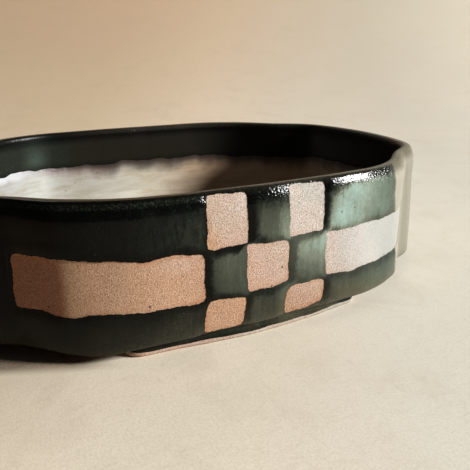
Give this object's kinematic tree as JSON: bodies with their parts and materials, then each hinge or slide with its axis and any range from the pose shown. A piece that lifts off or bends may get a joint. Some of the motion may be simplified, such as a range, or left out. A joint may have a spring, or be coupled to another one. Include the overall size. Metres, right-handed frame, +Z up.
{
  "type": "cloud-shaped flower vessel",
  "caption": "Low, wide stoneware flower vessel with a lobed cloud-shaped plan, a dark glaze with bare clay checks and stripes, a pale lined inside and low feet.",
  "frame": {"origin": "on the table, under the middle of the vessel", "axes": "+X along the long axis towards the right end lobe, -Y towards the front lobe, +Z up"},
  "size_m": [0.282, 0.198, 0.07],
  "materials": {
    "stoneware": "bare sandy fired clay, matt, with small iron specks",
    "dark_glaze": "glossy green-black glaze, breaking brown on edges",
    "liner_glaze": "satin cream-white liner glaze"
  },
  "bodies": {
    "root": {"floor_slab": "stoneware", "front_wall": "stoneware", "back_wall": "stoneware", "left_wall": "stoneware", "right_wall": "stoneware", "front_foot": "stoneware", "back_foot": "stoneware", "left_foot": "stoneware", "right_foot": "stoneware", "front_glaze": "dark_glaze", "back_glaze": "dark_glaze", "left_glaze": "dark_glaze", "right_glaze": "dark_glaze", "rim_glaze": "dark_glaze", "foot_glaze": "dark_glaze", "liner_glaze": "liner_glaze"}
  },
  "joints": []
}
